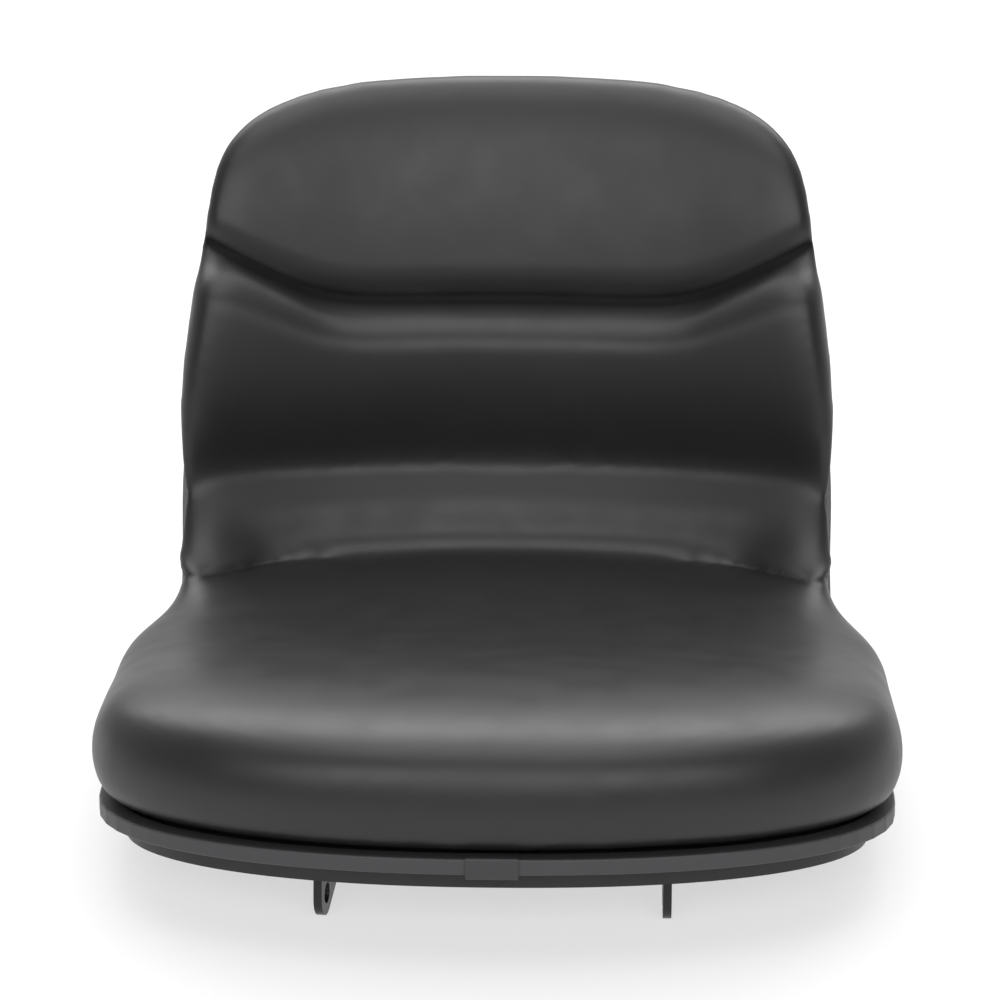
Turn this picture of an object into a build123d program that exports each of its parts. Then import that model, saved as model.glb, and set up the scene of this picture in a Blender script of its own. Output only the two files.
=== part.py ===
"""Bucket seat for a compact tractor: moulded vinyl cushion, stamped steel pan, edge trim, pivot brackets.

The seat is drawn level, with the pan's rim plane at Z = 0 and the middle of its front edge at Y = 0,
and is then tipped back about its pivot line, whose middle becomes the origin.
+X is to the viewer's right when facing the seat, +Y goes to the back, +Z is up. Millimetres.
"""
from build123d import *
from functools import cache
import math
import os

# Plan of the pan's rim, seen from above
RIM_HALF_WIDTH = 233.0
WIDEST_Y = 120.0
FRONT_CURVE_POWER = 2.2
SEAT_TAPER = 29.0
SEAT_TAPER_Y = 255.0
SEAT_TAPER_END_Y = 392.0

# Outline of the backrest's rim, seen from the front
BACK_TOP_Z = 379.0
BACK_SHOULDER_Z = 250.0
BACK_TAPER = 15.0
BACK_TAPER_START_Z = 172.0
BACK_TAPER_END_Z = 330.0
BACK_SIDE_POWER = 3.1
BACK_TOP_POWER = 4.8

# The bucket surface that the rim lies on: a floor, a leaning curved wall and the bight between them
BACK_LEAN = 12.5
BUCKET_DEPTH = 406.0
WRAP_RADIUS = 460.0
BIGHT_RADIUS = 80.0
BIGHT_TOP_Z = 150.0

# Cushion: how far its edge stands out over the rim, and how its edges roll
OVERHANG = 8.0
CUSHION_LIFT = 5.5
BACK_EDGE_DEPTH = 15.0
BACK_UNDER_ROLL = 24.0
CORE_CLEARANCE = 0.3
CORE_OVERLAP = 3.0

# Seat pad
SEAT_EDGE_Z = 33.0
SEAT_UNDER_ROLL = 52.0
SEAT_ROLL_POWER = 4.4
CROWN_Z = 80.0
CROWN_Y = 85.0
BASIN_Z = 72.0
BASIN_Y = 245.0
SEAT_REAR_Z = 84.0
SEAT_REAR_Y = 350.0
SEAT_PAD_END_Y = 445.0
SEAT_PAD_CORNER = 45.0

# Bight strip, lumbar panel and upper panel: faces as arcs through three (Y, Z) points
STRIP_FOOT = (342.0, 76.0)
STRIP_MIDDLE = (386.0, 97.0)
STRIP_HEAD = (413.0, 138.0)
STRIP_TUCK = 25.0
STRIP_CORNER = 10.0
STRIP_DEPTH = 22.0
STRIP_ROLL_POWER = 5.0
LUMBAR_FOOT = (421.0, 130.0)
LUMBAR_BELLY = (405.0, 215.0)
LUMBAR_HEAD = (420.0, 300.0)
LUMBAR_LOW_Z = 112.0
LUMBAR_CORNER = 20.0
LUMBAR_ROLL_POWER = 7.0
LUMBAR_SHOULDER_Z = 190.0
LUMBAR_SHOULDER_RADIUS = 300.0
WING_VALLEY_Z = 239.0
WING_VALLEY_X = 119.0
WING_VALLEY_RADIUS = 45.0
WING_TIP = (200.0, 283.0)
WING_TIP_RADIUS = 16.0
UPPER_FOOT = (428.0, 205.0)
UPPER_MIDDLE = (438.0, 302.0)
UPPER_HEAD = (460.0, 395.0)
UPPER_LOW_Z = 135.0
UPPER_CORNER = 30.0
UPPER_ROLL_POWER = 4.4

# Stamped pan
SHEET = 1.5
FLANGE_WIDTH = 14.0
DISH_DEPTH = 17.0

# Edge trim and the clip over its joint
TRIM_WEB = 2.7
TRIM_LEG = 8.0
TRIM_RISE = 3.5
TRIM_DROP = 6.0
TRIM_LEG_THICKNESS = 2.3
TRIM_CLEARANCE = 0.7
TRIM_SEAT = 0.8
TRIM_EDGE_RADIUS = 1.2
TRIM_JOINT = 1.0
CLIP_WIDTH = 30.0
CLIP_TOP = 0.8
CLIP_FRONT = 1.2
CLIP_BOTTOM = 2.0
CLIP_REACH = 6.0
CLIP_LOW_REACH = 3.0
CLIP_CLEARANCE = 0.15

# Pivot brackets
PIVOT_HALF_SPAN = 101.0
PIVOT_Y = 75.0
PIVOT_Z = -44.0
PIVOT_BORE = 12.5
EAR_END_RADIUS = 13.0
EAR_THICKNESS = 5.0
EAR_ROOT_FRONT = 12.0
EAR_ROOT_BACK = 55.0
LEFT_TOE = 10.0
RIGHT_TOE = 0.0
FOOT_WIDTH = 45.0
FOOT_FRONT = 5.0
FOOT_BACK = 98.0
BEND_RADIUS = 4.0
BOLT_FROM_EAR = 24.0
BOLT_FIRST = 30.0
BOLT_PITCH = 45.0

# Fasteners, M8
BOLT_DIAMETER = 8.0
BOLT_HOLE = 8.8
BOLT_HEAD_FLATS = 13.0
BOLT_HEAD_HEIGHT = 5.3
BOLT_TAIL = 1.5
WASHER_OUTER = 16.0
WASHER_BORE = 8.4
WASHER_THICKNESS = 1.6
SPRING_OUTER = 14.0
SPRING_THICKNESS = 2.0
SPRING_GAP = 1.6
NUT_FLATS = 14.0
NUT_HEIGHT = 6.5
NUT_BORE = 8.2
NUT_POCKET = 1.5

# How finely the curves are drawn
CURVE_STEPS = 16
RING_HALF_COUNT = 32
RING_LEVELS = 26
SECTION_STEPS = 240
TIP_SHARE = 0.06
TRIM_STATIONS = 71
EVEN_PACE = (1, 1)

LEAN_SLOPE = math.tan(math.radians(BACK_LEAN))
LEAN_COS = math.cos(math.radians(BACK_LEAN))
WRAP_Y = BUCKET_DEPTH + BIGHT_TOP_Z * LEAN_SLOPE - WRAP_RADIUS
WRAP_AXIS = Axis((0, WRAP_Y, 0), (0, 0, 1))
BIGHT_BEND = math.radians(90 - BACK_LEAN)
FLOOR_REACH = BUCKET_DEPTH - WRAP_Y - BIGHT_RADIUS * math.tan(BIGHT_BEND / 2)
FAR = BACK_TOP_Z + BUCKET_DEPTH
FLOOR_Z = -DISH_DEPTH - SHEET
FOOT_Z = FLOOR_Z - EAR_THICKNESS
SPRING_Z = FOOT_Z - WASHER_THICKNESS


def ease(share):
    """Smooth step from 0 to 1."""
    return 0.5 - 0.5 * math.cos(math.pi * min(1.0, max(0.0, share)))


def wrap(x):
    """How far the curved back comes forward at x."""
    return WRAP_RADIUS - math.sqrt(WRAP_RADIUS ** 2 - x ** 2)


def back_line(z):
    """Y of the rim's back line at height z, on the middle plane."""
    return BUCKET_DEPTH + LEAN_SLOPE * z


@cache
def room(offset):
    """Space inside the bucket, with its floor and wall brought in by offset."""
    foot = BUCKET_DEPTH - offset / LEAN_COS + offset * LEAN_SLOPE
    head = (foot + LEAN_SLOPE * FAR, offset + FAR)
    with BuildSketch(Plane.YZ) as section:
        with BuildLine():
            FilletPolyline((WRAP_Y, offset), (foot, offset), head, radius=BIGHT_RADIUS - offset)
            Polyline(head, (WRAP_Y, head[1]), (WRAP_Y, offset))
        make_face()
    return revolve(section.sketch, WRAP_AXIS, 360)


def front_points(inset):
    """Rim's front edge from left to right, a superellipse."""
    half_width = RIM_HALF_WIDTH - inset
    depth = WIDEST_Y - inset
    points = []
    for step in range(CURVE_STEPS + 1):
        angle = math.pi * step / CURVE_STEPS
        across = abs(math.cos(angle)) ** (2 / FRONT_CURVE_POWER)
        forward = math.sin(angle) ** (2 / FRONT_CURVE_POWER)
        points.append((-math.copysign(across, math.cos(angle)) * half_width, WIDEST_Y - forward * depth))
    return points


def side_x(y):
    """Half width of the rim at y, from its widest place to the bight."""
    return RIM_HALF_WIDTH - SEAT_TAPER * ease((y - SEAT_TAPER_Y) / (SEAT_TAPER_END_Y - SEAT_TAPER_Y))


def side_points(inset):
    """Rim's right edge from its widest place to the bight."""
    points = []
    for step in range(CURVE_STEPS // 2 + 1):
        y = WIDEST_Y + 2 * step / CURVE_STEPS * (SEAT_TAPER_END_Y - WIDEST_Y)
        points.append((side_x(y) - inset, y))
    return points


def arch_points(inset):
    """Backrest's edge from right to left over the top, a superellipse on tapering sides."""
    half_width = RIM_HALF_WIDTH - SEAT_TAPER - inset
    rise = BACK_TOP_Z - inset - BACK_SHOULDER_Z
    side = []
    for step in range(CURVE_STEPS // 4):
        share = 4 * step / CURVE_STEPS
        side.append((half_width, BACK_TAPER_START_Z + share * (BACK_SHOULDER_Z - BACK_TAPER_START_Z)))
    top = []
    for step in range(2 * CURVE_STEPS + 1):
        angle = math.pi * step / (2 * CURVE_STEPS)
        across = abs(math.cos(angle)) ** (2 / BACK_SIDE_POWER)
        up = math.sin(angle) ** (2 / BACK_TOP_POWER)
        top.append((math.copysign(across, math.cos(angle)) * half_width, BACK_SHOULDER_Z + up * rise))
    left = [(-x, z) for x, z in reversed(side)]
    points = []
    for x, z in side + top + left:
        share = (z - BACK_TAPER_START_Z) / (BACK_TAPER_END_Z - BACK_TAPER_START_Z)
        points.append((x * (1 - BACK_TAPER * ease(share) / half_width), z))
    return points


@cache
def mask(inset):
    """Everything inside the rim's outline: upright walls round the seat, level walls round the back."""
    side = side_points(inset)
    mirrored = [(-x, y) for x, y in reversed(side)]
    rear = side[-1][0]
    with BuildSketch(Plane.XY.offset(-BIGHT_TOP_Z)) as plan:
        with BuildLine():
            Spline(*front_points(inset), tangents=((0, -1), (0, 1)), tangent_scalars=EVEN_PACE)
            Spline(*side, tangents=((0, 1), (0, 1)), tangent_scalars=EVEN_PACE)
            Polyline(side[-1], (rear, FAR), (-rear, FAR), mirrored[0])
            Spline(*mirrored, tangents=((0, -1), (0, -1)), tangent_scalars=EVEN_PACE)
        make_face()
    arch = arch_points(inset)
    with BuildSketch(Plane.XZ) as elevation:
        with BuildLine():
            Spline(*arch, tangents=((0, 1), (0, -1)), tangent_scalars=EVEN_PACE)
            Polyline(arch[-1], (-rear, BIGHT_TOP_Z), (rear, BIGHT_TOP_Z), arch[0])
        make_face()
    return extrude(plan.sketch, 2 * BIGHT_TOP_Z) + extrude(elevation.sketch, -FAR)


def layer(low, high, inset):
    """Sheet between two offsets of the bucket surface, cut to the rim's outline."""
    return (room(low) - room(high)) & mask(inset)


def evenly(wire):
    """Evenly spaced (u, v) points round an outline whose right half is given, bottom to top."""
    step = wire.length / RING_HALF_COUNT
    half = [wire.position_at(index * step, PositionMode.LENGTH) for index in range(RING_HALF_COUNT + 1)]
    right = [(point.X, point.Y) for point in half]
    return right + [(-u, v) for u, v in reversed(right[1:-1])]


def section_stations(reach, under, rise, power):
    """Evenly spaced stations round a pad's section, each as shares of its outline and its depth.

    The depth share runs from -1 at the back through 0 at the widest place to 1 on the face.
    """
    fine = []
    for step in range(-SECTION_STEPS, SECTION_STEPS + 1):
        angle = math.pi / 2 * math.sin(math.pi / 2 * step / SECTION_STEPS)
        share = max(0.0, math.cos(angle)) ** (2 / power)
        depth = math.copysign(abs(math.sin(angle)) ** (2 / power), angle)
        if share > TIP_SHARE:
            fine.append((share, depth))
    travelled = [0.0]
    for last, here in zip(fine, fine[1:]):
        height = under if here[1] < 0 else rise
        step = math.hypot((here[0] - last[0]) * reach, (here[1] - last[1]) * height)
        travelled.append(travelled[-1] + step)
    stations = []
    for level in range(RING_LEVELS):
        target = travelled[-1] * level / (RING_LEVELS - 1)
        index = min(range(len(fine)), key=lambda place: abs(travelled[place] - target))
        stations.append(fine[index])
    return stations


def pad(outline, middle, back, edge, face, power, place):
    """Padded form lofted through closed rings, from the middle of its back round its edge to its face.

    back, edge and face give depth at (u, v); place turns (u, v, depth) into a point.
    """
    reach = max(u for u, v in outline)
    under = abs(back(0, middle) - edge(0, middle))
    rise = abs(face(0, middle) - edge(0, middle))
    rings = []
    stations = section_stations(reach, under, rise, power)
    for share, depth_share in stations:
        surface = back if depth_share < 0 else face
        points = []
        for u, v in outline:
            pu = u * share
            pv = middle + (v - middle) * share
            depth = edge(pu, pv) + (surface(pu, pv) - edge(pu, pv)) * abs(depth_share)
            points.append(Vector(*place(pu, pv, depth)))
        if share in (stations[0][0], stations[-1][0]):
            points = flat_tip(points)
        steps = [index / len(points) for index in range(len(points) + 1)]
        rings.append(Wire([Edge.make_spline(points, periodic=True, parameters=steps)]))
    return Solid.make_loft(rings)


def flat_tip(points):
    """The smallest ring, pressed onto the plane through its middle."""
    count = len(points)
    middle = sum(points, Vector()) / count
    across = points[count // 4] - points[3 * count // 4]
    along = points[count // 2] - points[0]
    plane = Plane(middle, x_dir=across, z_dir=across.cross(along))
    flat = []
    for point in points:
        local = plane.to_local_coords(point)
        flat.append(plane.from_local_coords(Vector(local.X, local.Y, 0)))
    return flat


def seat_pad():
    """Seat cushion: waterfall front, rolled sides, shallow basin, rising rear."""
    front = front_points(-OVERHANG)
    side = side_points(-OVERHANG)
    rear = side[-1][0]
    corner = SEAT_PAD_CORNER
    half = Wire([
        Edge.make_line((0, SEAT_PAD_END_Y), (rear - corner, SEAT_PAD_END_Y)),
        Edge.make_tangent_arc((rear - corner, SEAT_PAD_END_Y), (1, 0), (rear, SEAT_PAD_END_Y - corner)),
        Edge.make_line((rear, SEAT_PAD_END_Y - corner), side[-1]),
        Edge.make_spline(list(reversed(side)), tangents=[(0, -1), (0, -1)], scale=False),
        Edge.make_spline(list(reversed(front[CURVE_STEPS // 2:])), tangents=[(0, -1), (-1, 0)], scale=False),
    ])

    def top(x, y):
        if y < BASIN_Y:
            return BASIN_Z + (CROWN_Z - BASIN_Z) * ease((BASIN_Y - y) / (BASIN_Y - CROWN_Y))
        return BASIN_Z + (SEAT_REAR_Z - BASIN_Z) * ((y - BASIN_Y) / (SEAT_REAR_Y - BASIN_Y)) ** 2

    return pad(evenly(half), (WIDEST_Y + BASIN_Y) / 2, lambda x, y: SEAT_EDGE_Z - SEAT_UNDER_ROLL,
               lambda x, y: SEAT_EDGE_Z, top, SEAT_ROLL_POWER, lambda x, y, z: (x, y, z))


def arc_frame(foot, middle, head):
    """Centre and radius of the arc through three (Y, Z) points."""
    bend = ThreePointArc(foot, middle, head)
    return bend.arc_center, bend.radius


def back_pad(half, middle, foot, belly, head, power):
    """Pad on the backrest, its face bent round the sitter."""
    centre, radius = arc_frame(foot, belly, head)
    side = math.copysign(1, belly[0] - centre.X)

    def face(x, z):
        return centre.X + side * math.sqrt(radius ** 2 - (z - centre.Y) ** 2) - wrap(x)

    def edge(x, z):
        return back_line(z) - BACK_EDGE_DEPTH - wrap(x)

    def back(x, z):
        return edge(x, z) + BACK_UNDER_ROLL

    return pad(evenly(half), middle, back, edge, face, power, lambda x, z, y: (x, y, z))


def upper_pad():
    """Upper back panel with its arched top."""
    arch = arch_points(-OVERHANG)
    right = arch[:len(arch) // 2 + 1]
    half_width = right[0][0]
    corner = UPPER_CORNER
    half = Wire([
        Edge.make_line((0, UPPER_LOW_Z), (half_width - corner, UPPER_LOW_Z)),
        Edge.make_tangent_arc((half_width - corner, UPPER_LOW_Z), (1, 0), (half_width, UPPER_LOW_Z + corner)),
        Edge.make_line((half_width, UPPER_LOW_Z + corner), right[0]),
        Edge.make_spline(right, tangents=[(0, 1), (-1, 0)], scale=False),
    ])
    middle = (UPPER_LOW_Z + BACK_TOP_Z) / 2
    return back_pad(half, middle, UPPER_FOOT, UPPER_MIDDLE, UPPER_HEAD, UPPER_ROLL_POWER)


def lumbar_pad():
    """Lumbar panel whose top edge rises into a wing at each side."""
    half_width = RIM_HALF_WIDTH - SEAT_TAPER + OVERHANG
    corners = [(0, LUMBAR_LOW_Z), (half_width, LUMBAR_LOW_Z), (half_width, LUMBAR_SHOULDER_Z),
               WING_TIP, (WING_VALLEY_X, WING_VALLEY_Z), (0, WING_VALLEY_Z)]
    radii = [LUMBAR_CORNER, LUMBAR_SHOULDER_RADIUS, WING_TIP_RADIUS, WING_VALLEY_RADIUS]
    half = FilletPolyline(*corners, radius=radii)
    middle = (LUMBAR_LOW_Z + WING_VALLEY_Z) / 2
    return back_pad(half.wire(), middle, LUMBAR_FOOT, LUMBAR_BELLY, LUMBAR_HEAD, LUMBAR_ROLL_POWER)


def strip_pad():
    """Bight strip that sweeps up from the seat to the lumbar panel, drawn along its own arc."""
    half_width = RIM_HALF_WIDTH - SEAT_TAPER + OVERHANG
    centre, radius = arc_frame(STRIP_FOOT, STRIP_MIDDLE, STRIP_HEAD)
    low = radius * math.atan2(STRIP_FOOT[0] - centre.X, centre.Y - STRIP_FOOT[1]) - STRIP_TUCK
    high = radius * math.atan2(STRIP_HEAD[0] - centre.X, centre.Y - STRIP_HEAD[1])
    half = FilletPolyline((0, low), (half_width, low), (half_width, high), (0, high), radius=STRIP_CORNER)

    def place(x, v, depth):
        angle = v / radius
        y = centre.X + (radius + depth) * math.sin(angle)
        return (x, y - wrap(x), centre.Y - (radius + depth) * math.cos(angle))

    return pad(evenly(half.wire()), (low + high) / 2, lambda x, v: 2 * STRIP_DEPTH, lambda x, v: STRIP_DEPTH,
               lambda x, v: 0.0, STRIP_ROLL_POWER, place)


def cushion():
    """The whole moulding: four pads grown together, with a core that fills the pan."""
    pads = seat_pad() + strip_pad() + lumbar_pad() + upper_pad()
    core = layer(CORE_CLEARANCE - DISH_DEPTH, CUSHION_LIFT + CORE_OVERLAP, FLANGE_WIDTH + CORE_CLEARANCE)
    body = (pads & room(CUSHION_LIFT)) + core
    for place in bolt_places():
        body -= place * Pos(0, 0, -DISH_DEPTH) * Cylinder(
            NUT_FLATS / 2 + NUT_POCKET, 2 * (NUT_HEIGHT + NUT_POCKET))
    return body


def seat_pan():
    """Stamped sheet: a flat flange round a dished floor and back, with the bolt holes."""
    flange = layer(-SHEET, 0, 0)
    tub = layer(-DISH_DEPTH - SHEET, -SHEET / 2, FLANGE_WIDTH - SHEET)
    hollow = layer(-DISH_DEPTH, SHEET, FLANGE_WIDTH)
    body = flange + tub - hollow
    for place in bolt_places():
        body -= place * Pos(0, 0, -DISH_DEPTH) * Cylinder(BOLT_HOLE / 2, 4 * SHEET)
    return body


def rim_point(x, z):
    """Point of the backrest's rim wall at x and height z."""
    reach = back_line(z) - WRAP_Y
    return (x, WRAP_Y + math.sqrt(reach ** 2 - x ** 2), z)


def rim_line():
    """The rim's left edge, from the middle of the front to the middle of the top."""
    points = [(x, y, 0) for x, y in reversed(front_points(0)[:CURVE_STEPS // 2 + 1])]
    for x, y in side_points(0)[1:]:
        if math.hypot(x, y - WRAP_Y) < FLOOR_REACH - BIGHT_RADIUS / 2:
            points.append((-x, y, 0))
    x = RIM_HALF_WIDTH
    for step in range(CURVE_STEPS // 2 + 1):
        angle = BIGHT_BEND * 2 * step / CURVE_STEPS
        reach = FLOOR_REACH + BIGHT_RADIUS * math.sin(angle)
        for _ in range(CURVE_STEPS):
            y = WRAP_Y + math.sqrt(reach ** 2 - x ** 2)
            x = (x + side_x(y)) / 2
        points.append((-x, y, BIGHT_RADIUS * (1 - math.cos(angle))))
    points.append(rim_point(-x, (BIGHT_RADIUS + BACK_TAPER_START_Z) / 2))
    arch = arch_points(0)
    points += [rim_point(x, z) for x, z in reversed(arch[len(arch) // 2:])]
    return Edge.make_spline(points, tangents=[(-1, 0, 0), (1, 0, 0)], scale=False)


def bucket_normal(point):
    """Unit normal of the bucket surface at a point of the rim, towards the sitter."""
    out = Vector(point.X, point.Y - WRAP_Y, 0)
    reach = out.length
    angle = min(BIGHT_BEND, max(0.0, math.atan2(reach - FLOOR_REACH, BIGHT_RADIUS - point.Z)))
    if point.Z > BIGHT_RADIUS:
        angle = BIGHT_BEND
    return out.normalized() * -math.sin(angle) + Vector(0, 0, math.cos(angle))


def edge_trim():
    """Plastic channel pushed over the flange, one length whose ends meet at the middle of the front."""
    low_leg = -SHEET - TRIM_CLEARANCE - TRIM_LEG_THICKNESS
    front = TRIM_SEAT + TRIM_WEB
    profile = [(-TRIM_LEG, TRIM_CLEARANCE), (TRIM_SEAT, TRIM_CLEARANCE), (TRIM_SEAT, -SHEET - TRIM_CLEARANCE),
               (-TRIM_LEG, -SHEET - TRIM_CLEARANCE), (-TRIM_LEG, low_leg), (TRIM_SEAT, low_leg),
               (TRIM_SEAT, -TRIM_DROP), (front, -TRIM_DROP), (front, TRIM_RISE), (-TRIM_LEG, TRIM_RISE)]
    with BuildSketch() as section:
        with BuildLine():
            Polyline(*profile, close=True)
        make_face()
        fillet(section.vertices().sort_by(Axis.X)[-2:], TRIM_EDGE_RADIUS)
    outline = section.sketch.face().outer_wire()
    line = rim_line()
    sections = []
    for step in range(-TRIM_STATIONS, TRIM_STATIONS + 1):
        length = line.length - abs(step) / TRIM_STATIONS * (line.length - TRIM_JOINT / 2)
        point = line.position_at(length, PositionMode.LENGTH)
        along = line.tangent_at(length, PositionMode.LENGTH)
        if step > 0:
            point = Vector(-point.X, point.Y, point.Z)
            along = Vector(along.X, -along.Y, -along.Z)
        outward = bucket_normal(point).cross(along)
        sections.append(Plane(point, x_dir=outward, z_dir=along).location * outline)
    return Solid.make_loft(sections, ruled=True)


def trim_joint_clip():
    """Sleeve over the trim's joint at the front centre, open towards the pan."""
    front = -TRIM_SEAT - TRIM_WEB - CLIP_CLEARANCE
    top = TRIM_RISE + CLIP_CLEARANCE
    bottom = -TRIM_DROP - CLIP_CLEARANCE
    profile = [(CLIP_REACH, top), (CLIP_REACH, top + CLIP_TOP), (front - CLIP_FRONT, top + CLIP_TOP),
               (front - CLIP_FRONT, bottom - CLIP_BOTTOM), (CLIP_LOW_REACH, bottom - CLIP_BOTTOM),
               (CLIP_LOW_REACH, bottom), (front, bottom), (front, top)]
    with BuildSketch(Plane.YZ.offset(-CLIP_WIDTH / 2)) as section:
        with BuildLine():
            Polyline(*profile, close=True)
        make_face()
        outer = section.vertices().sort_by(Axis.X)[:2]
        fillet(outer, CLIP_FRONT)
    return extrude(section.sketch, CLIP_WIDTH)


def bracket_place(side):
    """Frame of one bracket: on the pivot line's height of Y, turned by its toe."""
    toe = LEFT_TOE if side < 0 else -RIGHT_TOE
    return Pos(side * PIVOT_HALF_SPAN, PIVOT_Y, 0) * Rot(0, 0, -toe)


def bolt_places():
    """Frames of the four bolts, on the rim plane above each bolt."""
    places = []
    for side in (-1, 1):
        for index in range(2):
            offset = Pos(-side * BOLT_FROM_EAR, BOLT_FIRST + index * BOLT_PITCH, 0)
            places.append(bracket_place(side) * offset)
    return places


def pivot_bore():
    """Pin hole through both ears, along the pivot line."""
    return Pos(0, PIVOT_Y, PIVOT_Z) * Rot(0, 90, 0) * Cylinder(PIVOT_BORE / 2, 2 * RIM_HALF_WIDTH)


def pivot_bracket(side):
    """Folded plate: a foot bolted under the pan and an ear that drops to the pivot hole."""
    inward = -side
    outer = side * EAR_THICKNESS / 2
    inner = inward * EAR_THICKNESS / 2
    tip = outer + inward * FOOT_WIDTH
    low = PIVOT_Z - EAR_END_RADIUS
    with BuildSketch(Plane.XZ.offset(-FOOT_BACK)) as fold:
        with BuildLine():
            Polyline((outer, low), (outer, FLOOR_Z), (tip, FLOOR_Z), (tip, FOOT_Z), (inner, FOOT_Z),
                     (inner, low), close=True)
        make_face()
        fillet(fold.vertices().sort_by_distance((outer, FLOOR_Z, 0))[0], BEND_RADIUS + EAR_THICKNESS)
        fillet(fold.vertices().sort_by_distance((inner, FOOT_Z, 0))[0], BEND_RADIUS)
    with BuildSketch(Plane.YZ.offset(-FOOT_WIDTH)) as ear:
        with Locations((0, PIVOT_Z)):
            Circle(EAR_END_RADIUS)
        with Locations(((EAR_ROOT_BACK - EAR_ROOT_FRONT) / 2, FOOT_Z - BEND_RADIUS / 2)):
            Rectangle(EAR_ROOT_BACK + EAR_ROOT_FRONT, BEND_RADIUS)
        make_hull()
        with Locations(((FOOT_FRONT + FOOT_BACK) / 2, (FLOOR_Z + FOOT_Z) / 2)):
            Rectangle(FOOT_BACK - FOOT_FRONT, EAR_THICKNESS)
        with Locations(((EAR_ROOT_BACK - EAR_ROOT_FRONT) / 2, (FLOOR_Z + FOOT_Z) / 2)):
            Rectangle(EAR_ROOT_BACK + EAR_ROOT_FRONT, EAR_THICKNESS)
    reach = FOOT_BACK + EAR_ROOT_FRONT + EAR_END_RADIUS
    plate = extrude(fold.sketch, reach) & extrude(ear.sketch, 2 * FOOT_WIDTH)
    body = bracket_place(side) * plate - pivot_bore()
    for place in bolt_places():
        body -= place * Pos(0, 0, FOOT_Z) * Cylinder(BOLT_HOLE / 2, 4 * EAR_THICKNESS)
    return body


def on_bolts(shape):
    """One copy of a fastener at each bolt, as a group of separate solids."""
    return Compound([solid for place in bolt_places() for solid in (place * shape).solids()])


def bolt():
    """Hex bolt, head down."""
    under_head = SPRING_Z - SPRING_THICKNESS
    reach = NUT_HEIGHT - DISH_DEPTH + BOLT_TAIL - under_head
    head = extrude(RegularPolygon(BOLT_HEAD_FLATS / 2, 6, major_radius=False), -BOLT_HEAD_HEIGHT)
    shank = extrude(Circle(BOLT_DIAMETER / 2), reach)
    shank = chamfer(shank.edges().sort_by(Axis.Z)[-1], BOLT_TAIL / 2)
    return Pos(0, 0, under_head) * (head + shank)


def washer():
    """Flat washer under the bracket's foot."""
    return Pos(0, 0, FOOT_Z) * extrude(Circle(WASHER_OUTER / 2) - Circle(WASHER_BORE / 2), -WASHER_THICKNESS)


def spring_washer():
    """Split washer between the flat washer and the bolt's head."""
    ring = Circle(SPRING_OUTER / 2) - Circle(WASHER_BORE / 2)
    split = Pos(SPRING_OUTER / 2, 0) * Rectangle(SPRING_OUTER, SPRING_GAP)
    return Pos(0, 0, SPRING_Z) * extrude(ring - split, -SPRING_THICKNESS)


def weld_nut():
    """Nut on the pan's floor, inside."""
    flats = RegularPolygon(NUT_FLATS / 2, 6, major_radius=False) - Circle(NUT_BORE / 2)
    return Pos(0, 0, -DISH_DEPTH) * extrude(flats, NUT_HEIGHT)


def rake():
    """Tilt at which the ears and the pan's rear floor stand on one level, in degrees."""
    offset = -DISH_DEPTH - SHEET
    radius = BIGHT_RADIUS - offset
    foot = BUCKET_DEPTH - offset / LEAN_COS + offset * LEAN_SLOPE
    back = foot - radius * math.tan(math.radians(90 - BACK_LEAN) / 2) - PIVOT_Y
    up = offset + radius - PIVOT_Z
    lift = math.asin((radius - EAR_END_RADIUS) / math.hypot(back, up))
    return math.degrees(math.atan2(up, back) - lift)


def main():
    """Builds every piece, tips it back on the pivot line and writes it out."""
    os.makedirs("parts", exist_ok=True)
    pieces = {
        "cushion": cushion(),
        "seat_pan": seat_pan(),
        "edge_trim": edge_trim(),
        "trim_joint_clip": trim_joint_clip(),
        "left_pivot_bracket": pivot_bracket(-1),
        "right_pivot_bracket": pivot_bracket(1),
        "bracket_bolts": on_bolts(bolt()),
        "bracket_washers": on_bolts(washer()),
        "bracket_spring_washers": on_bolts(spring_washer()),
        "pan_weld_nuts": on_bolts(weld_nut()),
    }
    seated = Rot(-rake(), 0, 0) * Pos(0, -PIVOT_Y, -PIVOT_Z)
    for name, piece in pieces.items():
        export_step(seated * piece, f"parts/{name}.step")


if __name__ == "__main__":
    main()
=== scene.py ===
"""Dressed model of a compact tractor's bucket seat: vinyl cushion, edge trim, steel pan, pivot brackets."""
import logging
import math
from dataclasses import dataclass, field
from enum import Enum
from typing import Any

import bmesh
import bpy
from mathutils import Matrix, Vector, noise


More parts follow.
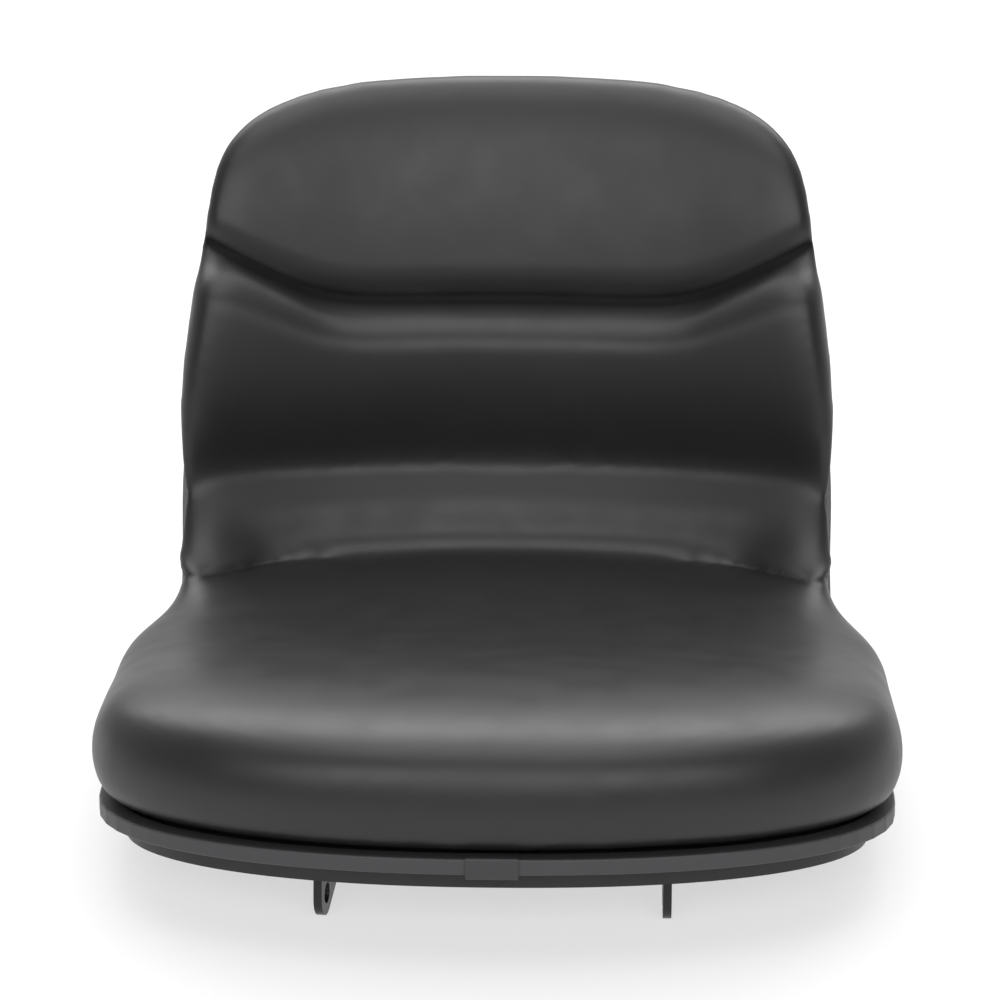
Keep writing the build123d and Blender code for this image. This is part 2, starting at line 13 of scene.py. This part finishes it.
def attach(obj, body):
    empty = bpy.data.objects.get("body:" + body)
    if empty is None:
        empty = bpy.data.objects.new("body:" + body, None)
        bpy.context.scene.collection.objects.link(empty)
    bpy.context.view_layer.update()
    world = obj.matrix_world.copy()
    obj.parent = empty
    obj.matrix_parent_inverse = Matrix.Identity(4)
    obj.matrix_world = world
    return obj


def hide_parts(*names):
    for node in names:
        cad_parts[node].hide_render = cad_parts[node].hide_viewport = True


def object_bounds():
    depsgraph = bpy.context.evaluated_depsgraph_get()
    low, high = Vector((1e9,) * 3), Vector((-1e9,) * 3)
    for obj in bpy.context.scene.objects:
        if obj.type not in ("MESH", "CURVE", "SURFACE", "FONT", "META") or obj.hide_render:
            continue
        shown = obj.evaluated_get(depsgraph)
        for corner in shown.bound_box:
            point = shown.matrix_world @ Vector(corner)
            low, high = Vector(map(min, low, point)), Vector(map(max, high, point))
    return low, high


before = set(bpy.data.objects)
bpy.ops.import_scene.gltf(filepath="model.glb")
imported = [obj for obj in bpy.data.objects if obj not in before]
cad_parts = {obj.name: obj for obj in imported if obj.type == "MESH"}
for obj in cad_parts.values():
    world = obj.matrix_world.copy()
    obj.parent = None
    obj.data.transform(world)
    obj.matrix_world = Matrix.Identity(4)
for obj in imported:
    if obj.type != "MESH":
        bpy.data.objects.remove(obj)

MM = 0.001
JOIN_MM = 0.01
NOISE_LOW = 0.3
NOISE_HIGH = 0.7
CAD_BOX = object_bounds()
PAINTED_CREASE_SHADE = "crease"
log = logging.getLogger("tractor_seat")


class Node(Enum):
    """The CAD nodes that are dressed here, by their names in the frame."""

    CUSHION = "cushion"
    SEAT_PAN = "seat_pan"
    EDGE_TRIM = "edge_trim"
    JOINT_CLIP = "trim_joint_clip"
    LEFT_BRACKET = "left_pivot_bracket"
    RIGHT_BRACKET = "right_pivot_bracket"
    BOLTS = "bracket_bolts"
    WASHERS = "bracket_washers"
    SPRING_WASHERS = "bracket_spring_washers"
    WELD_NUTS = "pan_weld_nuts"


def linear(hex_colour: str) -> tuple[float, float, float, float]:
    """Turns an sRGB hex colour into linear RGBA.

    Args:
        hex_colour: six hex digits.

    Returns:
        The linear colour with full alpha.
    """
    channels = [int(hex_colour[i:i + 2], 16) / 255.0 for i in (0, 2, 4)]
    red, green, blue = (c / 12.92 if c <= 0.04045 else ((c + 0.055) / 1.055) ** 2.4 for c in channels)
    return (red, green, blue, 1.0)


def add_node(tree: bpy.types.NodeTree, kind: str, settings: dict[str, Any] | None = None,
             **inputs: Any) -> bpy.types.Node:
    """Adds one node to a tree, with its settings, values and links.

    Args:
        tree: the node tree.
        kind: the node's type name.
        settings: attributes to set on the node.
        **inputs: socket names with underscores for spaces, or i and a socket's number; a socket
            is linked, any other value is set.

    Returns:
        The new node.
    """
    node = tree.nodes.new(kind)
    for name, value in (settings or {}).items():
        setattr(node, name, value)
    for name, value in inputs.items():
        key = int(name[1:]) if name[1:].isdigit() and name[0] == "i" else name.replace("_", " ")
        socket = node.inputs[key]
        if isinstance(value, bpy.types.NodeSocket):
            tree.links.new(value, socket)
        else:
            socket.default_value = value
    return node


def new_material(name: str) -> tuple[bpy.types.Material, bpy.types.NodeTree, bpy.types.Node]:
    """Makes an empty node material.

    Args:
        name: the material's name.

    Returns:
        The material, its tree and its output node.
    """
    material = bpy.data.materials.new(name)
    material.use_nodes = True
    tree = material.node_tree
    tree.nodes.clear()
    return material, tree, add_node(tree, "ShaderNodeOutputMaterial")


def uneven_gloss(tree: bpy.types.NodeTree, texture: bpy.types.NodeSocket, roughness: float,
                 spread: float) -> bpy.types.NodeSocket:
    """Lets a noise texture vary a surface's roughness.

    Args:
        tree: the node tree.
        texture: the noise.
        roughness: the mean roughness.
        spread: how far the roughness strays from its mean.

    Returns:
        The roughness.
    """
    gloss = add_node(tree, "ShaderNodeMapRange", None, Value=texture, From_Min=NOISE_LOW,
                     From_Max=NOISE_HIGH, To_Min=roughness - spread, To_Max=roughness + spread)
    return gloss.outputs["Result"]


@dataclass(frozen=True)
class GrainedVinyl:
    """Calendered PVC skin, vacuum-formed over foam: satin black with a fine leather grain."""

    colour: str = "1b1b1c"
    roughness: float = 0.43
    gloss_spread: float = 0.03
    ior: float = 1.5
    grain_mm: float = 1.6
    grain_depth_mm: float = 0.05
    grain_scatter: float = 0.9
    grain_strength: float = 0.6
    unevenness_mm: float = 26.0
    unevenness_depth_mm: float = 0.16
    unevenness_detail: float = 2.0
    open_sheen: float = 0.5
    # specular level in a full crease: painted shade that darkens it
    shaded_crease_specular: float = 0.04
    full_shade_crease: float = 0.6

    def material(self) -> bpy.types.Material:
        """Builds the material: a broad soft sheen broken up by pebbled grain, with painted shade in the
        creases, where the specular level is turned down.

        Returns:
            The material.
        """
        material, tree, output = new_material("black_grained_vinyl")
        place = add_node(tree, "ShaderNodeTexCoord").outputs["Object"]
        cells = add_node(tree, "ShaderNodeTexVoronoi", {"feature": "DISTANCE_TO_EDGE"}, Vector=place,
                         Scale=1.0 / (self.grain_mm * MM), Randomness=self.grain_scatter)
        broad = add_node(tree, "ShaderNodeTexNoise", None, Vector=place, Detail=self.unevenness_detail,
                         Scale=1.0 / (self.unevenness_mm * MM))
        swell = add_node(tree, "ShaderNodeBump", None, Height=broad.outputs["Fac"],
                         Distance=self.unevenness_depth_mm * MM, Strength=1.0)
        grain = add_node(tree, "ShaderNodeBump", None, Height=cells.outputs["Distance"],
                         Distance=self.grain_depth_mm * MM, Strength=self.grain_strength,
                         Normal=swell.outputs["Normal"])
        # Painted shade: the crease mask turns the specular level down in the creases and the V seam, so
        # they look darker, as if in shadow
        crease = add_node(tree, "ShaderNodeAttribute", {"attribute_name": PAINTED_CREASE_SHADE})
        sheen = add_node(tree, "ShaderNodeMapRange", None, Value=crease.outputs["Fac"],
                         From_Max=self.full_shade_crease, To_Min=self.open_sheen, To_Max=self.shaded_crease_specular)
        gloss = uneven_gloss(tree, broad.outputs["Fac"], self.roughness, self.gloss_spread)
        shader = add_node(tree, "ShaderNodeBsdfPrincipled", None, Base_Color=linear(self.colour),
                          IOR=self.ior, Roughness=gloss, Normal=grain.outputs["Normal"],
                          Specular_IOR_Level=sheen.outputs["Result"])
        tree.links.new(shader.outputs["BSDF"], output.inputs["Surface"])
        return material


@dataclass(frozen=True)
class SatinFinish:
    """A plain moulded or coated surface with slight unevenness in its gloss."""

    name: str
    colour: str
    roughness: float
    ior: float = 1.5
    metallic: float = 0.0
    texture_mm: float = 3.0
    texture_depth_mm: float = 0.03
    texture_detail: float = 3.0
    texture_strength: float = 0.5
    gloss_spread: float = 0.05

    def material(self) -> bpy.types.Material:
        """Builds the material: one colour, with a faint texture that breaks its highlights.

        Returns:
            The material.
        """
        material, tree, output = new_material(self.name)
        place = add_node(tree, "ShaderNodeTexCoord").outputs["Object"]
        texture = add_node(tree, "ShaderNodeTexNoise", None, Vector=place, Detail=self.texture_detail,
                           Scale=1.0 / (self.texture_mm * MM))
        bump = add_node(tree, "ShaderNodeBump", None, Height=texture.outputs["Fac"],
                        Distance=self.texture_depth_mm * MM, Strength=self.texture_strength)
        gloss = uneven_gloss(tree, texture.outputs["Fac"], self.roughness, self.gloss_spread)
        shader = add_node(tree, "ShaderNodeBsdfPrincipled", None, Base_Color=linear(self.colour),
                          Metallic=self.metallic, Roughness=gloss, Normal=bump.outputs["Normal"])
        if not self.metallic:
            shader.inputs["IOR"].default_value = self.ior
        tree.links.new(shader.outputs["BSDF"], output.inputs["Surface"])
        return material


# Satin black stoving enamel on pressed sheet steel: dark, with a low broad sheen
PAN_ENAMEL = SatinFinish("black_stoved_enamel", "161617", 0.42, texture_mm=6.0)
# Plasticised PVC extrusion: dark grey, softer and duller than the vinyl
TRIM_PVC = SatinFinish("grey_soft_pvc", "39393b", 0.5, texture_mm=2.0)
# Injection-moulded polypropylene: dark grey with a fine spark-eroded texture
CLIP_PLASTIC = SatinFinish("grey_moulded_polypropylene", "333335", 0.48, texture_mm=1.2,
                           texture_depth_mm=0.05)
# Black chassis paint on folded plate: slightly glossier, with an orange-peel surface
BRACKET_PAINT = SatinFinish("black_chassis_paint", "1a1a1b", 0.36, texture_mm=2.5, texture_depth_mm=0.06)
# Bright zinc plate on steel fasteners: pale grey metal with a cloudy gloss
ZINC_PLATE = SatinFinish("bright_zinc_plate", "c3c4c2", 0.34, metallic=1.0, texture_mm=1.5,
                         texture_depth_mm=0.01)
# Plain carbon steel of the welded nuts: a darker, duller metal
PLAIN_STEEL = SatinFinish("plain_carbon_steel", "8c8a87", 0.5, metallic=1.0, texture_mm=1.0,
                          texture_depth_mm=0.02)


def merged_copy(node: Node, name: str) -> bpy.types.Object:
    """Copies a CAD node's mesh as a new object with its loose triangles joined up.

    Args:
        node: the CAD node.
        name: the new object's name.

    Returns:
        The copy, at the origin.
    """
    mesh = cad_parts[node.value].data.copy()
    mesh.name = name
    body = bmesh.new()
    body.from_mesh(mesh)
    bmesh.ops.remove_doubles(body, verts=body.verts, dist=JOIN_MM * MM)
    body.to_mesh(mesh)
    body.free()
    copy = bpy.data.objects.new(name, mesh)
    bpy.context.scene.collection.objects.link(copy)
    return copy


def apply_modifiers(piece: bpy.types.Object) -> None:
    """Bakes a piece's modifiers into its mesh.

    Args:
        piece: the piece.
    """
    graph = bpy.context.evaluated_depsgraph_get()
    baked = bpy.data.meshes.new_from_object(piece.evaluated_get(graph))
    piece.modifiers.clear()
    piece.data = baked


def dress(node: Node, finish: bpy.types.Material) -> None:
    """Gives a shown CAD node its finish.

    Args:
        node: the CAD node.
        finish: its material.
    """
    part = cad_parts[node.value]
    part.data.materials.clear()
    part.data.materials.append(finish)
    log.info("dressed %s with %s", node.value, finish.name)


@dataclass
class Cushion:
    """The vinyl-covered moulding, seat and back in one skin.

    The pairs: valley_mm is the V seam's corner, across and up; wing_end_mm is where the seam starts and
    ends to fade; the tucks are a reach and a depth; bight_mm and bight_press_mm go back and up.
    """

    voxel_mm: float = 3.0
    settling_share: float = 0.5
    settling_rounds: int = 5
    rounding_steps: int = 5
    rounding_rounds: int = 11
    last_rounds: int = 2
    crease_angle: float = 0.12
    full_crease_angle: float = 0.36
    crease_depth_mm: float = 4.0
    crease_top_mm: float = 190.0
    valley_mm: tuple[float, float] = (119.0, 243.0)
    wing_slope: float = 0.54
    valley_round_mm: float = 12.0
    wing_end_mm: tuple[float, float] = (192.0, 206.0)
    tuck_above_mm: tuple[float, float] = (24.0, 9.0)
    tuck_below_mm: tuple[float, float] = (32.0, 9.0)
    seam_mm: float = 7.0
    seam_facing: float = 0.1
    rake: float = 8.033
    pivot_drop_mm: float = 44.0
    belly_height_mm: float = 34.0
    belly_half_mm: float = 34.0
    belly_depth_mm: float = 6.0
    belly_reach: float = 1.4
    bight_mm: tuple[float, float] = (322.0, 92.0)
    bight_spread_mm: float = 22.0
    bight_press_mm: tuple[float, float] = (12.0, -10.0)
    under_facing: float = -0.2
    rear_facing: float = 0.3
    wrap_radius_mm: float = 460.0
    pillar_start_mm: float = 150.0
    pillar_end_mm: float = 202.0
    unevenness_mm: float = 0.4
    unevenness_pitch_mm: float = 60.0
    fullness: float = 0.9
    finish: GrainedVinyl = field(default_factory=GrainedVinyl)

    def build(self) -> bpy.types.Object:
        """Grows one soft skin over the CAD cushion.

        Returns:
            The dressed cushion.
        """
        skin = merged_copy(Node.CUSHION, "vinyl_cushion")
        remesh = skin.modifiers.new("skin", "REMESH")
        remesh.mode = "VOXEL"
        remesh.voxel_size = self.voxel_mm * MM
        apply_modifiers(skin)
        body = bmesh.new()
        body.from_mesh(skin.data)
        self.settle(body, body.verts[:], self.settling_rounds)
        self.hollow_bight(body)
        self.curve_front(body)
        self.round_off(body)
        self.draw_wing_seam(body)
        self.make_uneven(body)
        body.to_mesh(skin.data)
        body.free()
        skin.data.shade_smooth()
        skin.data.materials.clear()
        skin.data.materials.append(self.finish.material())
        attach(skin, "root")
        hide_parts("cushion")
        log.info("built %s, %d faces", skin.name, len(skin.data.polygons))
        return skin

    def settle(self, body: bmesh.types.BMesh, verts: list[bmesh.types.BMVert], rounds: int) -> None:
        """Evens out part of the skin, as stretched vinyl lies.

        Args:
            body: the skin.
            verts: the vertices that move.
            rounds: how often they move.
        """
        for _ in range(rounds):
            bmesh.ops.smooth_vert(body, verts=verts, factor=self.settling_share, use_axis_x=True,
                                  use_axis_y=True, use_axis_z=True)
        body.normal_update()

    def height_mm(self, place: Vector) -> float:
        """Measures a place's height over the pan's rim, square to the tipped seat.

        Args:
            place: the place, in metres.

        Returns:
            The height.
        """
        tilt = math.radians(self.rake)
        return (place.z * math.cos(tilt) + place.y * math.sin(tilt)) / MM - self.pivot_drop_mm

    def hollow_bight(self, body: bmesh.types.BMesh) -> None:
        """Presses the bight back and down between two side pillars, so that its strip stands steep.

        Args:
            body: the skin.
        """
        back, up = self.bight_mm
        press = Vector((0.0, *self.bight_press_mm)) * MM
        for vert in body.verts:
            x, y, z = vert.co / MM
            turned_away = vert.normal.z < self.under_facing or vert.normal.y > self.rear_facing
            if turned_away or abs(x) > self.pillar_end_mm:
                continue
            wrap = self.wrap_radius_mm - math.sqrt(self.wrap_radius_mm ** 2 - x * x)
            away = math.hypot(y + wrap - back, z - up) / self.bight_spread_mm
            side = (abs(x) - self.pillar_start_mm) / (self.pillar_end_mm - self.pillar_start_mm)
            fade = 0.5 + 0.5 * math.cos(math.pi * min(1.0, max(0.0, side)))
            vert.co += press * math.exp(-away * away) * fade
        body.normal_update()

    def curve_front(self, body: bmesh.types.BMesh) -> None:
        """Gives the seat's upright edge a belly, by drawing in the skin above and below its middle.

        Args:
            body: the skin.
        """
        for vert in body.verts:
            share = (self.height_mm(vert.co) - self.belly_height_mm) / self.belly_half_mm
            if abs(share) > self.belly_reach:
                continue
            outward = Vector((vert.normal.x, vert.normal.y, 0.0))
            vert.co -= outward * min(1.0, share * share) * self.belly_depth_mm * MM
        body.normal_update()

    def round_off(self, body: bmesh.types.BMesh) -> None:
        """Rounds the padding's edges, less and less towards its creases, draws the creases in and keeps
        their pull as the mask of the painted shade in them.

        Args:
            body: the skin.
        """
        # mask of the painted shade in the creases
        depth = body.verts.layers.float.new(PAINTED_CREASE_SHADE)
        step = self.voxel_mm * MM
        top = self.crease_top_mm * MM
        pull = {}
        for vert in body.verts:
            around = [edge.other_vert(vert).co for edge in vert.link_edges]
            lift = (sum(around, Vector()) / len(around) - vert.co).dot(vert.normal) / step
            if lift > self.crease_angle and vert.normal.y < 0.0 and vert.co.z < top:
                pull[vert] = min(1.0, lift / self.full_crease_angle)
        held = set(pull)
        for _ in range(self.rounding_steps):
            self.settle(body, [vert for vert in body.verts if vert not in held], self.rounding_rounds)
            held |= {edge.other_vert(vert) for vert in held for edge in vert.link_edges}
        near = set(pull) | {edge.other_vert(vert) for vert in pull for edge in vert.link_edges}
        shares = {vert: self.mean_pull(vert, pull) for vert in near}
        for vert, share in shares.items():
            vert.co -= vert.normal * share * self.crease_depth_mm * MM
            # the same pull masks the painted crease shade
            vert[depth] = share
        self.settle(body, body.verts[:], self.last_rounds)

    @staticmethod
    def mean_pull(vert: bmesh.types.BMVert, pull: dict[bmesh.types.BMVert, float]) -> float:
        """Averages the pull round a vertex.

        Args:
            vert: the vertex.
            pull: the pull of the vertices in a crease.

        Returns:
            The mean pull of the vertex and its neighbours.
        """
        near = [pull.get(edge.other_vert(vert), 0.0) for edge in vert.link_edges] + [pull.get(vert, 0.0)]
        return sum(near) / len(near)

    def draw_wing_seam(self, body: bmesh.types.BMesh) -> None:
        """Tucks the skin into the V-shaped seam between the upper panel and the winged lumbar panel, and
        marks the seam for painted shade.

        Args:
            body: the skin.
        """
        depth = body.verts.layers.float[PAINTED_CREASE_SHADE]
        start, end = self.wing_end_mm
        for vert in body.verts:
            if vert.normal.y > self.seam_facing or vert.co.z < self.crease_top_mm * MM:
                continue
            across = abs(vert.co.x) / MM
            bend = (across - self.valley_mm[0]) / self.valley_round_mm
            rise = self.valley_round_mm * math.log1p(math.exp(bend)) * self.wing_slope
            above = self.height_mm(vert.co) - self.valley_mm[1] - rise
            reach, press = self.tuck_above_mm if above > 0.0 else self.tuck_below_mm
            fade = min(1.0, max(0.0, (end - across) / (end - start)))
            share = max(0.0, 1.0 - abs(above) / reach) ** 2 * fade
            vert.co.y += share * press * MM
            # marks the seam in the mask of painted crease shade
            vert[depth] = max(vert[depth], fade * max(0.0, 1.0 - abs(above) / self.seam_mm))
        body.normal_update()

    def make_uneven(self, body: bmesh.types.BMesh) -> None:
        """Adds the foam's faint unevenness.

        Args:
            body: the skin.
        """
        pitch = self.unevenness_pitch_mm * MM
        for vert in body.verts:
            vert.co += vert.normal * noise.noise(vert.co / pitch) * self.unevenness_mm * MM


@dataclass
class EdgeTrim:
    """The channel round the pan's rim and the clip over its joint."""

    channel: SatinFinish = TRIM_PVC
    clip: SatinFinish = CLIP_PLASTIC

    def build(self) -> None:
        """Dresses the trim and its clip."""
        dress(Node.EDGE_TRIM, self.channel.material())
        dress(Node.JOINT_CLIP, self.clip.material())


@dataclass
class Underside:
    """The pressed pan, the pivot brackets and what holds them together."""

    pan: SatinFinish = PAN_ENAMEL
    bracket: SatinFinish = BRACKET_PAINT
    fastener: SatinFinish = ZINC_PLATE
    nut: SatinFinish = PLAIN_STEEL

    def build(self) -> None:
        """Dresses every steel piece."""
        dress(Node.SEAT_PAN, self.pan.material())
        paint = self.bracket.material()
        for node in (Node.LEFT_BRACKET, Node.RIGHT_BRACKET):
            dress(node, paint)
        zinc = self.fastener.material()
        for node in (Node.BOLTS, Node.WASHERS, Node.SPRING_WASHERS):
            dress(node, zinc)
        dress(Node.WELD_NUTS, self.nut.material())


@dataclass(frozen=True)
class Softbox:
    """A large soft lamp that faces the seat."""

    name: str
    place: tuple[float, float, float]
    size: tuple[float, float]
    radiance: float
    aim: tuple[float, float, float] = (0.0, 0.15, 0.15)

    def hang(self) -> None:
        """Hangs the lamp and turns it to the seat."""
        lamp = bpy.data.lights.new(self.name, "AREA")
        lamp.shape = "RECTANGLE"
        lamp.size, lamp.size_y = self.size
        lamp.energy = self.radiance * math.pi * self.size[0] * self.size[1]
        box = bpy.data.objects.new(self.name, lamp)
        look = Vector(self.aim) - Vector(self.place)
        turn = look.to_track_quat("-Z", "Y").to_matrix().to_4x4()
        box.matrix_world = Matrix.Translation(self.place) @ turn
        bpy.context.scene.collection.objects.link(box)


@dataclass
class Studio:
    """Pale floor, three softboxes, pale surroundings and the photograph's camera."""

    floor_size: float = 12.0
    floor_colour: str = "f4f4f4"
    floor_glow: float = 0.62
    overhead: Softbox = Softbox("overhead_softbox", (0.0, 0.0, 2.2), (1.9, 1.9), 2.3)
    front: Softbox = Softbox("front_softbox", (0.0, -2.6, 1.75), (4.6, 1.0), 4.6)
    rear: Softbox = Softbox("rear_softbox", (0.0, 2.2, 2.3), (4.6, 1.9), 3.6)
    room_span: tuple[float, float] = (-0.6, 0.5)
    room_levels: tuple[float, float] = (0.06, 0.65)
    camera_place: tuple[float, float, float] = (0.0494, -2.1231, 1.0865)
    camera_azimuth: float = 1.25
    camera_elevation: float = 21.53
    focal_mm: float = 145.7
    sensor_mm: float = 36.0

    def build(self) -> None:
        """Sets up everything that isn't the seat."""
        self.floor()
        self.surroundings()
        for softbox in (self.overhead, self.front, self.rear):
            softbox.hang()
        self.camera()
        bpy.context.scene.view_settings.view_transform = "Standard"

    def floor(self) -> None:
        """Lays the floor at the seat's lowest point, pale enough to vanish yet still taking its shadow."""
        body = bmesh.new()
        bmesh.ops.create_grid(body, x_segments=1, y_segments=1, size=self.floor_size / 2)
        bmesh.ops.translate(body, vec=Vector((0.0, 0.0, CAD_BOX[0][2])), verts=body.verts)
        mesh = bpy.data.meshes.new("floor")
        body.to_mesh(mesh)
        body.free()
        floor = bpy.data.objects.new("floor", mesh)
        bpy.context.scene.collection.objects.link(floor)
        material, tree, output = new_material("white_paper_floor")
        seen = self.seen_directly(tree)
        share = add_node(tree, "ShaderNodeMath", {"operation": "MULTIPLY"}, i0=seen, i1=self.floor_glow)
        paper = add_node(tree, "ShaderNodeBsdfDiffuse", None, Color=linear(self.floor_colour))
        glow = add_node(tree, "ShaderNodeEmission", None, Strength=1.0)
        mix = add_node(tree, "ShaderNodeMixShader", None, i0=share.outputs[0], i1=paper.outputs[0],
                       i2=glow.outputs[0])
        tree.links.new(mix.outputs[0], output.inputs["Surface"])
        mesh.materials.append(material)

    @staticmethod
    def seen_directly(tree: bpy.types.NodeTree) -> bpy.types.NodeSocket:
        """Tells whether a ray shows the backdrop: straight, mirrored or through glass.

        Args:
            tree: the tree to add the test to.

        Returns:
            A socket that is 1 for such rays and 0 for light.
        """
        path = add_node(tree, "ShaderNodeLightPath")
        some = add_node(tree, "ShaderNodeMath", {"operation": "MAXIMUM"}, i0=path.outputs["Is Camera Ray"],
                        i1=path.outputs["Is Glossy Ray"])
        every = add_node(tree, "ShaderNodeMath", {"operation": "MAXIMUM"}, i0=some.outputs[0],
                         i1=path.outputs["Is Transmission Ray"])
        return every.outputs[0]

    def surroundings(self) -> None:
        """Surrounds the seat with a room that is pale behind it and darker on the camera's side."""
        world = bpy.data.worlds.new("studio")
        bpy.context.scene.world = world
        world.use_nodes = True
        tree = world.node_tree
        tree.nodes.clear()
        way = add_node(tree, "ShaderNodeTexCoord").outputs["Generated"]
        axes = add_node(tree, "ShaderNodeSeparateXYZ", None, Vector=way)
        level = add_node(tree, "ShaderNodeMapRange", None, Value=axes.outputs["Y"],
                         From_Min=self.room_span[0], From_Max=self.room_span[1],
                         To_Min=self.room_levels[0], To_Max=self.room_levels[1])
        background = add_node(tree, "ShaderNodeBackground", None, Color=(1.0, 1.0, 1.0, 1.0),
                              Strength=level.outputs["Result"])
        output = add_node(tree, "ShaderNodeOutputWorld")
        tree.links.new(background.outputs[0], output.inputs["Surface"])

    def camera(self) -> None:
        """Puts the camera where the photograph was taken from."""
        lens = bpy.data.cameras.new("camera")
        lens.sensor_width = self.sensor_mm
        lens.lens = self.focal_mm
        camera = bpy.data.objects.new("camera", lens)
        turn = Matrix.Rotation(math.radians(self.camera_azimuth), 4, "Z")
        tilt = Matrix.Rotation(math.radians(90.0 - self.camera_elevation), 4, "X")
        camera.matrix_world = Matrix.Translation(self.camera_place) @ turn @ tilt
        bpy.context.scene.collection.objects.link(camera)
        bpy.context.scene.camera = camera


def main() -> None:
    """Builds and dresses the seat, then lights it."""
    logging.basicConfig(level=logging.INFO, format="%(message)s")
    Cushion().build()
    EdgeTrim().build()
    Underside().build()
    Studio().build()


if __name__ == "__main__":
    main()
